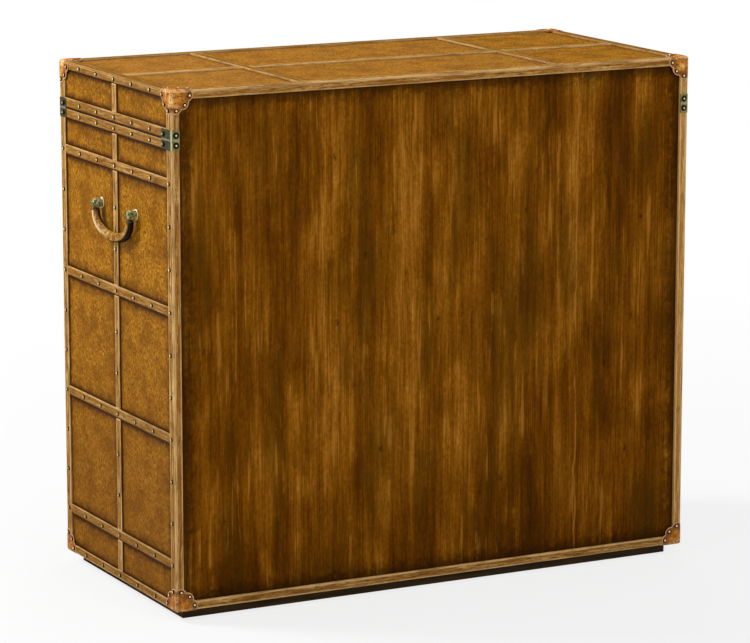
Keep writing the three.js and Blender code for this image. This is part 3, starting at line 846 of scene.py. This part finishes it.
NAIL_LEVELS = (852, 790, 772, 25)
NAIL_REACH = 214
NAIL_U = [-NAIL_REACH + i * 2 * NAIL_REACH / 6 for i in range(7)]
FRONT_NAIL_U = [i * CROSS_X / 3 for i in range(-5, 6)]
EDGE_NAIL_U = HALF_WIDTH - EDGE_WIDTH / 2 - 1
THIRDS = [z - ROW_PITCH * share / 3 for z in RAIL_Z[:3] for share in (1, 2)]


def nail_faces():
    marks = [(u, z) for z in RAIL_Z for u in NAIL_U]
    marks += [(u, z) for z in NAIL_LEVELS for u in NAIL_U[1:-1]]
    marks += [(u, z) for z in THIRDS for u in (NAIL_U[0], 0, NAIL_U[-1])]
    for side, face in ENDS.items():
        face_nails(f"{side}_end_nails", face, marks)
    marks = [(u, z) for z in RAIL_Z for u in [-EDGE_NAIL_U, *FRONT_NAIL_U, EDGE_NAIL_U]]
    marks += [(u, z) for z in NAIL_LEVELS for u in FRONT_NAIL_U]
    marks += [(s * EDGE_NAIL_U, z) for s in (-1, 1) for z in THIRDS]
    face_nails("front_nails", FRONT, marks)


for side, face in ENDS.items():
    dress_face(f"{side}_end", side, face, HALF_DEPTH, END_EDGE, [0], END_COLUMNS, BODY_ROWS, ["high"])
dress_face("front", "front", FRONT, END_FACE, FRONT_EDGE, CROSSES, FRONT_COLUMNS,
           [BODY_ROWS[0], BODY_ROWS[-1]], ["left", "right", "high"])
shade_seams()
dress_top()
dress_back()
nail_faces()


# Corner caps and plates

CAP_REACH, CAP_SCALLOP, CAP_LOBES = 38, 4, 3
CAP_LEATHER, CAP_ROUND, CAP_SKIN, CAP_PUFF, CAP_NAIL_SINK = 1.5, 4.2, 1.1, 0.35, 0.35
CAP_CENTRE, CAP_CENTRE_PUFF, CAP_ARRIS_HIGHLIGHT = 0.25, 0.25, 0.08
CAP_NAIL_IN, CAP_NAIL_RADIUS, CAP_NAIL_HEIGHT, FLAT_NAIL_HEIGHT = 5.5, 3.1, 2.4, 1.3
PLINTH_EDGE = 19
PLATE_THICKNESS, PLATE_HEIGHT, PLATE_BACK = 1.2, 16, 14
PLATE_ARRIS, PLATE_CORNER = 2.6, 1.6
PLATE_ENDS = {"front": 26, "rear": 36}
PLATE_NAILS = (-PLATE_HEIGHT / 2, PLATE_HEIGHT / 2)
PLATE_NAIL_RADIUS, PLATE_NAIL_HEIGHT = 4.0, 3.2
PLATE_GAP = 0.3


def lobe_reach(angle, under):
    """How far the cap's free edge lies from the corner, in one face, at an angle from the arris."""
    lobes = math.sqrt(abs(math.sin(2 * CAP_LOBES * angle)))
    reach = CAP_REACH - CAP_SCALLOP + CAP_SCALLOP * lobes
    if under:
        reach = min(reach, PLINTH_EDGE / max(0.01, min(math.cos(angle), math.sin(angle))))
    return reach


def corner_cap(bottom):
    """Cap with the corner at the origin and the case on the negative side of every axis."""
    work = Work()
    bm = work.bm
    bmesh.ops.create_cube(bm, size=2)
    bmesh.ops.subdivide_edges(bm, edges=bm.edges[:], cuts=19, use_grid_fill=True)
    inner = [f for f in bm.faces if max(f.calc_center_median()) < 0.999]
    bmesh.ops.delete(bm, geom=inner, context="FACES")
    for vert in bm.verts:
        away = [(1 - c) / 2 for c in vert.co]
        flat = away.index(min(away))
        u, v = (flat + 1) % 3, (flat + 2) % 3
        most = max(away[u], away[v])
        angle = math.atan2(away[v], away[u])
        reach = most * lobe_reach(angle, bottom and flat == 2)
        place = [0.0, 0.0, 0.0]
        place[u] = -reach * math.cos(angle)
        place[v] = -reach * math.sin(angle)
        vert[work.border] = most
        # Marks the band along the rounded arrises for a painted highlight.
        vert[work.tone] = 1.0 if sorted(away)[1] < CAP_ARRIS_HIGHLIGHT else 0.0
        outer = Vector([CAP_LEATHER if a < 1e-6 else min(c, CAP_LEATHER) for a, c in zip(away, place)])
        core = Vector([min(c, CAP_LEATHER - CAP_ROUND) for c in outer])
        spoke = outer - core
        puff = CAP_PUFF * math.sin(math.pi * most) if most > CAP_CENTRE else CAP_CENTRE_PUFF
        if spoke.length > 1e-6:
            outer = core + spoke.normalized() * (CAP_ROUND - CAP_PUFF + puff)
        vert.co = outer
    thicken(bm, CAP_SKIN, lambda f: f.normal.dot(f.calc_center_median() + Vector((20, 20, 20))))
    return work


def cap_nails(flat):
    """Where the nails of the cap's face square to one axis stand, as matrices in the corner's frame."""
    turns = (turn(90, "Y"), turn(-90, "X"), Matrix())
    places = []
    for lobe in range(CAP_LOBES):
        angle = (lobe + 0.5) / CAP_LOBES * math.pi / 2
        place = [CAP_LEATHER - CAP_NAIL_SINK] * 3
        place[(flat + 1) % 3] = -(CAP_REACH - CAP_NAIL_IN) * math.cos(angle)
        place[(flat + 2) % 3] = -(CAP_REACH - CAP_NAIL_IN) * math.sin(angle)
        places.append(shift(*place) @ turns[flat])
    return places


def make_caps():
    for level, sz, z in (("top", 1, CASE_TOP), ("bottom", -1, PLINTH_HEIGHT)):
        pattern = corner_cap(level == "bottom")
        for face, sy in FACES:
            for side, sx in SIDES:
                flip = shift(sx * HALF_WIDTH, sy * HALF_DEPTH, z) @ Matrix.Diagonal((sx, sy, sz, 1))
                node = f"corner_cap_{level}_{face}_{side}"
                piece(f"{node}_leather", pattern.copy(flip), cap_hide, node=node, sharp=50)
                heights = [CAP_NAIL_HEIGHT, FLAT_NAIL_HEIGHT if face == "rear" else CAP_NAIL_HEIGHT]
                heights += [FLAT_NAIL_HEIGHT] if level == "top" else []
                for flat, height in enumerate(heights):
                    places = [flip @ place for place in cap_nails(flat)]
                    name = f"{node}_nails_{flat + 1}"
                    nails(name, places, CAP_NAIL_RADIUS, height, finish=small_nail_brass)


def bent_plate(end_flange, low, high):
    """Bent brass plate over one upright arris, built from its outer skin."""
    t = PLATE_THICKNESS
    work = Work()
    bm = work.bm
    outline = [(t, -end_flange), (t, t), (-PLATE_BACK, t)]
    bottom = [bm.verts.new((x, y, low)) for x, y in outline]
    edges = [bm.edges.new(pair) for pair in zip(bottom, bottom[1:])]
    made = bmesh.ops.extrude_edge_only(bm, edges=edges)
    lifted = [g for g in made["geom"] if isinstance(g, bmesh.types.BMVert)]
    bmesh.ops.translate(bm, verts=lifted, vec=(0, 0, high - low))
    arris = [e for e in bm.edges if all(abs(v.co.x - t) < 1e-6 and abs(v.co.y - t) < 1e-6 for v in e.verts)]
    bevel(bm, arris, PLATE_ARRIS, 5)
    for vert in bm.verts:
        near = min(vert.co.x, vert.co.y)
        # Marks the bent arris for wear and a painted highlight, and the end flange for painted shade.
        vert[work.border] = 1.0 if near > t - 1.2 else 0.5 if near > t - 2 else 0.0
        vert[work.tone] = 1.0 if vert.co.x > t - 0.2 else 0.0
    corners = [v for v in bm.verts if abs(v.co.y + end_flange) < 1e-6 or abs(v.co.x + PLATE_BACK) < 1e-6]
    bevel(bm, corners, PLATE_CORNER, 3, "VERTICES")
    thicken(bm, t - 0.02, lambda f: f.normal.x + f.normal.y)
    return work


def make_plates():
    levels = ((-PLATE_HEIGHT, -PLATE_GAP / 2), (PLATE_GAP / 2, PLATE_HEIGHT))
    for face, sy in FACES:
        reach = PLATE_ENDS[face]
        for side, sx in SIDES:
            flip = shift(sx * HALF_WIDTH, sy * HALF_DEPTH, SEAM_Z) @ Matrix.Diagonal((sx, sy, 1, 1))
            node = f"corner_plates_{face}_{side}"
            plates = gather([bent_plate(reach, *level) for level in levels], flip)
            piece(f"{node}_brass", plates, plate_brass, node=node, sharp=40)
            ends = [shift(PLATE_THICKNESS, 9 - reach, z) @ turn(90, "Y") for z in PLATE_NAILS]
            backs = [shift(-PLATE_BACK / 2 - 0.5, PLATE_THICKNESS, z) @ turn(-90, "X") for z in PLATE_NAILS]
            back_height = FLAT_NAIL_HEIGHT if face == "rear" else PLATE_NAIL_HEIGHT
            for flange, places, height in (("end", ends, PLATE_NAIL_HEIGHT), ("face", backs, back_height)):
                places = [flip @ place for place in places]
                nails(f"{node}_{flange}_nails", places, PLATE_NAIL_RADIUS, height, finish=dark_nail_brass)


make_caps()
make_plates()


# Handles and pulls

PIVOT_OUT, BAIL_DROP, BAIL_RADIUS, BAIL_SWELL, BAIL_FULLNESS = 12, 45.5, 6.5, 1.5, 2.3
BAIL_STEPS, BAIL_SIDES = 48, 18
BAIL_ENDS = (-HANDLE_SPAN / 2, HANDLE_SPAN / 2)
KNOB_RADIUS, KNOB_GAP = 8, 1.5
HANDLE_SET_BACK = 10
STRAP_PAST, STRAP_HALF, STRAP_THICKNESS = 10, 7, 1.5
SLOT_HALF, SLOT_REACH, PIN_RADIUS, PIN_LENGTH = 2.7, 4.6, 2, 6.4
EYE_RADIUS, EYE_BORE, LUG_HALF = 4, 2.3, 2.2


def mount():
    """Turned mount: rosette, neck and a barrel slotted for the bail's lug, pinned along X."""
    profile = [(0, 0), (8.6, 0), (9, -0.4), (9, -1.6), (8.6, -2.1), (8.1, -2.2), (7.7, -1.9), (7.1, -2.1),
               (6.6, -2.8), (6.5, -3.4), (6.9, -3.9), (7.6, -4.2), (8, -4.8), (8, -5.5), (7.6, -5.8),
               (7.6, -6.2), (8, -6.6)]
    for i in range(10):
        angle = math.pi / 2 * (1 + i / 15)
        profile.append((KNOB_RADIUS * math.sin(angle), KNOB_RADIUS * math.cos(angle) - PIVOT_OUT))
    profile += [(3.6, -18.9), (0, -19.1)]
    slot = slab((-SLOT_HALF, -30, -20), (SLOT_HALF, SLOT_REACH - PIVOT_OUT, SLOT_REACH))
    work = carve(turned(profile), slot)
    for vert in work.bm.verts:
        # Marks the rosette's rim for a painted highlight.
        vert[work.border] = 1.0 if math.hypot(vert.co.x, vert.co.z) > 7.6 and vert.co.y > -2.3 else 0.0
    work.take(rod(PIN_RADIUS, PIN_LENGTH, 16), shift(0, -PIVOT_OUT, 0) @ turn(90, "Y"))
    for s in (-1, 1):
        head = Work()
        bmesh.ops.create_uvsphere(head.bm, u_segments=12, v_segments=8, radius=1)
        reach = math.sqrt(KNOB_RADIUS ** 2 - 1)
        work.take(head, shift(s * reach * 0.97, -PIVOT_OUT, 0) @ Matrix.Diagonal((0.8, 2.2, 2.2, 1)))
    return work


def bail_place(t):
    angle = math.pi * t
    power = 2 / BAIL_FULLNESS
    across = -math.copysign(abs(math.cos(angle)) ** power, math.cos(angle))
    down = abs(math.sin(angle)) ** power
    start = KNOB_RADIUS + KNOB_GAP
    return Vector((across * HANDLE_SPAN / 2, -PIVOT_OUT, -start - down * (BAIL_DROP - start)))


def spot(vert):
    return tuple(round(c, 6) for c in vert.co)


def sweep(path, radii, sides):
    """Tube along a path in a plane square to Y, and its rings of vertices with their place along it."""
    work = Work()
    bm = work.bm
    ring = bmesh.ops.create_circle(bm, cap_ends=True, segments=sides, radius=1)["verts"]
    edges = bm.edges[:]
    flat = [v.co.copy() for v in ring]
    rings = []
    length = 0.0
    for i, place in enumerate(path):
        if i:
            geom = bmesh.ops.extrude_edge_only(bm, edges=edges)["geom"]
            moved = [g for g in geom if isinstance(g, bmesh.types.BMVert)]
            spread = [g for g in geom if isinstance(g, bmesh.types.BMEdge)]
            edges = [edge for edge in spread if all(v in moved for v in edge.verts)]
            length += (place - path[i - 1]).length
            ring = sorted(moved, key=lambda v: last[spot(v)])
        ahead = path[min(i + 1, len(path) - 1)] - path[max(i - 1, 0)]
        ahead.normalize()
        inward = ahead.cross(-Y)
        for vert, at in zip(ring, flat):
            vert.co = place + (-Y * at.x + inward * at.y) * radii[i]
        last = {spot(v): k for k, v in enumerate(ring)}
        rings.append((ring, length))
    return work, rings


def bail(painted_shade_share):
    """Bail covered in leather, hanging in the mounts' frame, with painted shade under and behind it and on
    one half, and a painted highlight on its lit side, by a share.
    """
    shares = [i / BAIL_STEPS for i in range(BAIL_STEPS + 1)]
    path = [bail_place(t) for t in shares]
    radii = [BAIL_RADIUS + BAIL_SWELL * math.sin(math.pi * t) for t in shares]
    girth = 2 * math.pi * BAIL_RADIUS
    work, rings = sweep(path, radii, BAIL_SIDES)
    bm = work.bm
    bmesh.ops.holes_fill(bm, edges=[e for e in bm.edges if e.is_boundary], sides=0)
    spots = {}
    for (verts, length), centre in zip(rings, path):
        for k, vert in enumerate(verts):
            spots[vert] = (length, k / BAIL_SIDES * girth)
            out = (vert.co - centre).normalized()
            # How far each side of the tube faces away from the light, for painted shade and highlight.
            shade_side = 0.38 * out.x + 0.74 * out.y + 0.85 * max(0.0, -out.z)
            vert[work.tone] = painted_shade_share * (shade_side + 0.6 * centre.x / HANDLE_SPAN)
    for face in bm.faces:
        farthest = max(spots[loop.vert][1] for loop in face.loops)
        for loop in face.loops:
            length, place = spots[loop.vert]
            if farthest - place > girth / 2:
                place += girth
            loop[work.uv].uv = (length * METRE, place * METRE)
    face_out(bm)
    return work


def bail_metal():
    """Ferrules and pierced lugs at the bail's two ends."""
    work = Work()
    top = -(KNOB_RADIUS + KNOB_GAP)
    for x in BAIL_ENDS:
        ferrule = turned([(0, 0.2), (6.2, 0.2), (6.7, -0.4), (6.7, -1.8), (6.3, -2.4), (0, -2.4)], 24)
        work.take(ferrule, shift(x, -PIVOT_OUT, top) @ turn(90, "X"))
        sizes = ((EYE_RADIUS, 2 * LUG_HALF, 20), (EYE_BORE, 9, 16))
        work.take(carve(*[rod(*size).move(turn(90, "Y")) for size in sizes]), shift(x, -PIVOT_OUT, 0))
        work.take(slab((x - LUG_HALF, -PIVOT_OUT - 3, top - 3), (x + LUG_HALF, 3 - PIVOT_OUT, -3.2)))
    # Marks the ferrules and lugs for painted shade.
    for vert in work.bm.verts:
        vert[work.tone] = 1.0
    return work


def make_handles():
    mount_pattern, metal_pattern = mount(), bail_metal()

    def hang(name, place, painted_shade_share):
        node = f"{name}_bail"
        leather = bail(painted_shade_share).move(place)
        piece(f"{node}_leather", leather, bail_hide, name, node, 60)
        piece(f"{node}_ferrules", metal_pattern.copy(place), mount_brass, name)

    for side, sx in SIDES:
        place = shift(sx * END_FACE, HANDLE_SET_BACK, HANDLE_Z[0]) @ turn(sx * 90, "Z")
        for end, x in (("front", -sx * HANDLE_SPAN / 2), ("rear", sx * HANDLE_SPAN / 2)):
            node = f"{side}_handle_{end}_mount"
            work = mount_pattern.copy(place @ shift(x, 0, 0))
            piece(f"{node}_brass", work, mount_brass, node=node)
        hang(f"{side}_handle", place, 1.0)
    for drawer, z in zip(DRAWERS, HANDLE_Z):
        for side, sx in SIDES:
            place = shift(sx * CROSS_X, -FRONT_FACE, z)
            name = f"{drawer}_drawer_{side}_pull"
            work = gather([mount_pattern.copy(place @ shift(x, 0, 0)) for x in BAIL_ENDS])
            reach, inside = HANDLE_SPAN / 2 + STRAP_PAST, BOARD_THICKNESS + STRAP_THICKNESS
            strap = slab((-reach, BOARD_THICKNESS, -STRAP_HALF), (reach, inside, STRAP_HALF))
            bevel(strap.bm, strap.bm.edges[:], 0.4, 1)
            work.take(strap, place)
            node = f"{name}_mounts"
            piece(f"{node}_brass", work, mount_brass, f"{drawer}_drawer", node)
            hang(name, place, 0.3)


make_handles()


# Drawers, plinth and boards

DRAWER_GAP, EDGING, BOX_GAP, BOX_LIFT = 1.5, 8, 2, 0.3
BOX_WALL, BOX_HEIGHT, BOX_REAR, BOX_FLOOR, BOX_BOTTOM = 12, 160, 200, 6, 6
PLINTH_SET_IN, PLINTH_WALL = 20, 18
END_INNER = END_FACE - BOARD_THICKNESS


def wood_block(low, high, arris=0.8):
    """Board with its arrises eased and its grain along its length."""
    work = slab(low, high)
    bevel(work.bm, work.bm.edges[:], arris, 2)
    work.map_figure(*sorted(range(3), key=lambda axis: low[axis] - high[axis]))
    return work


def make_drawers():
    front_x, box_x = END_INNER - DRAWER_GAP, END_INNER - BOX_GAP
    columns = between(EDGING - front_x, front_x - EDGING, CROSSES)
    for i, drawer in enumerate(DRAWERS):
        body = f"{drawer}_drawer"
        bay_low = RAIL_Z[i + 1] + HALF_STRIP
        low, high = bay_low + DRAWER_GAP, RAIL_Z[i] - HALF_STRIP - DRAWER_GAP
        row = (low + EDGING, high - EDGING)
        spans = [(-front_x, front_x, low, row[0]), (-front_x, front_x, row[1], high)]
        spans += [(-front_x, EDGING - front_x, *row), (front_x - EDGING, front_x, *row)]
        spans += [(c - HALF_STRIP, c + HALF_STRIP, *row) for c in CROSSES]
        strips(f"{body}_edging_strips", [oak_strip(*span) for span in spans], FRONT, f"{body}_edging", body)
        panels(f"{body}_leather", [leather_panel(*column, *row) for column in columns], FRONT, body)
        marks = [(u, z) for u in CROSSES for z in THIRDS[2 * i:2 * i + 2]]
        face_nails(f"{body}_nails", FRONT, marks, body)
        inner_x, fore, base = box_x - BOX_WALL, BOARD_THICKNESS - FRONT_FACE, bay_low + BOX_LIFT
        floor, top = base + BOX_FLOOR, base + BOX_HEIGHT
        boards = [
            wood_block((-box_x, fore, base), (-inner_x, BOX_REAR, top)),
            wood_block((inner_x, fore, base), (box_x, BOX_REAR, top)),
            wood_block((-inner_x, BOX_REAR - BOX_WALL, floor), (inner_x, BOX_REAR, top)),
            wood_block((-inner_x, fore, floor), (inner_x, BOX_REAR - BOX_WALL, floor + BOX_BOTTOM), 0.4),
        ]
        piece(f"{body}_box_boards", gather(boards), drawer_wood, body, f"{body}_box")


def make_plinth():
    x, y = HALF_WIDTH - PLINTH_SET_IN, HALF_DEPTH - PLINTH_SET_IN
    inner_x, inner_y = x - PLINTH_WALL, y - PLINTH_WALL
    spans = ((-x, inner_y, x, y), (-x, -y, x, -inner_y), (-x, -inner_y, -inner_x, inner_y),
             (inner_x, -inner_y, x, inner_y))
    boards = [wood_block((x0, y0, 0), (x1, y1, PLINTH_HEIGHT)) for x0, y0, x1, y1 in spans]
    piece("plinth_boards", gather(boards), plinth_wood, node="plinth")


def finish_boards():
    """Gives the CAD boards that show their materials."""
    names = [f"{name}_board" for name in ("top", "bottom", "lid_front", "base_front")]
    names += [f"dust_board_{i}" for i in range(1, 5)] + [f"{drawer}_drawer_front" for drawer in DRAWERS]
    finishes = {"left_end_board": upright_wood, "right_end_board": upright_wood, "back_board": stained_back}
    finishes.update(dict.fromkeys(names, carcass_wood))
    for node, finish in finishes.items():
        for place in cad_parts[node].material_slots:
            place.material = finish


make_drawers()
make_plinth()
finish_boards()


# Floor, light and camera


def seen_share(r):
    """One for the rays that show the background: the camera's and those through gloss or glass."""
    path = r.add("LightPath").node.outputs
    seen = r.math("MAXIMUM", path["Is Camera Ray"], path["Is Transmission Ray"])
    return r.math("MAXIMUM", seen, path["Is Glossy Ray"])


def make_floor():
    work = Work()
    bmesh.ops.create_grid(work.bm, x_segments=1, y_segments=1, size=30)
    floor = link("floor", work.to_mesh("floor"))
    paint = bpy.data.materials.new("pale floor")
    r = recipe_for(paint)
    matt = r.add("BsdfDiffuse", {"Color": (0.74, 0.745, 0.75, 1)})
    glow = r.add("Emission", {"Color": (1, 1, 1, 1), "Strength": 1.0})
    away = r.add("VectorMath", {0: r.place()}, out=1, operation="LENGTH")
    share = r.times(seen_share(r), r.span(away, 0.9, 3.0, 0.79, 1.0))
    cover = r.add("MixShader", {0: share, 1: matt, 2: glow})
    r.add("OutputMaterial", {"Surface": cover})
    floor.data.materials.append(paint)


def make_world():
    world = bpy.data.worlds.new("studio")
    bpy.context.scene.world = world
    r = recipe_for(world)
    strength = r.span(seen_share(r), 0.0, 1.0, 0.42, 1.0)
    sky = r.add("Background", {"Color": (1, 1, 1, 1), "Strength": strength})
    r.add("OutputWorld", {"Surface": sky})


def lamp(name, place, target, size, energy):
    light = bpy.data.lights.new(name, "AREA")
    light.shape = "DISK"
    light.size = size
    light.energy = energy
    made = link(name, light)
    made.location = place
    made.rotation_euler = (Vector(target) - Vector(place)).to_track_quat("-Z", "Y").to_euler()


PHOTO_WIDTH, SENSOR_WIDTH = 750, 36
YAW, PITCH, FOCAL_LENGTH = 3.620243, 0.196331, 3638.355
CAMERA_PLACE = (3.3129423, 6.3854388, 1.8970714)


def make_camera():
    """Camera fitted to the photograph, its focal length in pixels and its place in heights of the case."""
    lens = bpy.data.cameras.new("camera")
    lens.sensor_width = SENSOR_WIDTH
    lens.lens = FOCAL_LENGTH / PHOTO_WIDTH * SENSOR_WIDTH
    lens.clip_end = 100
    camera = link("camera", lens)
    base = Vector((0, SET_BACK * METRE, PLINTH_HEIGHT * METRE))
    camera.location = base + Vector(CAMERA_PLACE) * ((CASE_TOP - PLINTH_HEIGHT) * METRE)
    ahead = Vector((math.sin(YAW) * math.cos(PITCH), math.cos(YAW) * math.cos(PITCH), -math.sin(PITCH)))
    camera.rotation_euler = ahead.to_track_quat("-Z", "Y").to_euler()
    bpy.context.scene.camera = camera


make_floor()
make_world()
lamp("window", (3.4, -2.5, 3.5), (0.3, 0, 0.5), 1.6, 230)
lamp("ceiling", (0.6, 0.8, 4.2), (0, 0, 0.5), 3.0, 20)
lamp("rear fill", (-0.8, 4.6, 2.8), (0, 0, 0.45), 2.6, 60)
lamp("front fill", (-2.4, -4.2, 2.2), (0, 0, 0.45), 2.6, 60)
make_camera()
bpy.context.scene.view_settings.view_transform = "Standard"
